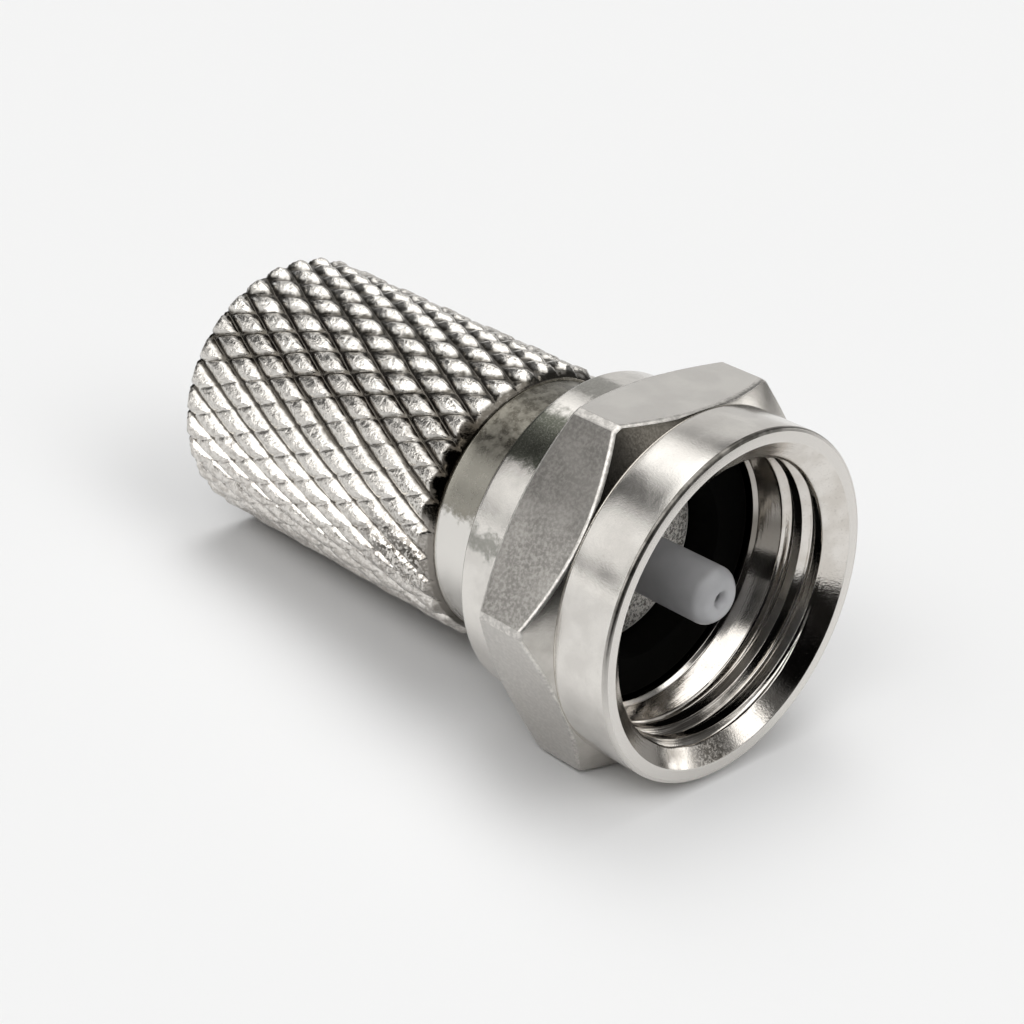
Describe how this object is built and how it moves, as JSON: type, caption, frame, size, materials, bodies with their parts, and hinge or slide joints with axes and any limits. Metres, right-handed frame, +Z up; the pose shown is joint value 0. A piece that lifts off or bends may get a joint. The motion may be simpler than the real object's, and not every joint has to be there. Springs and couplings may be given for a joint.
{
  "type": "coaxial cable connector",
  "caption": "Screw-on coaxial cable plug: diamond-knurled sleeve, captive hexagon coupling nut with an inside thread, sealing ring and plastic conductor guide.",
  "frame": {"origin": "centre of the bounding box's bottom, on the surface that the connector lies on: it rests on one flat of the nut's hexagon and on the rear edge of the sleeve", "axes": "+X runs towards the nut's open mouth, in plan along the connector's axis, which rises 3.8 degrees towards the mouth because the nut is thicker than the sleeve; +Y across a corner of the hexagon; +Z up"},
  "size_m": [0.0204, 0.0126, 0.0112],
  "materials": {
    "nickel_knurl": "polished",
    "nickel_faced": "satin",
    "nickel_nut": "satin",
    "seal_rubber": "matte",
    "guide_plastic": "satin"
  },
  "bodies": {
    "plug": {"knurled_sleeve": "nickel_knurl", "ferrule": "nickel_faced", "sealing_ring": "seal_rubber", "conductor_guide": "guide_plastic"},
    "nut": {"coupling_nut": "nickel_nut"}
  },
  "joints": [
    {"name": "nut_spin", "type": "hinge", "parent": "plug", "child": "nut", "pos_m": [0.0041, 0, 0.0054], "axis": [0.9978, 0, 0.066], "continuous": true}
  ]
}
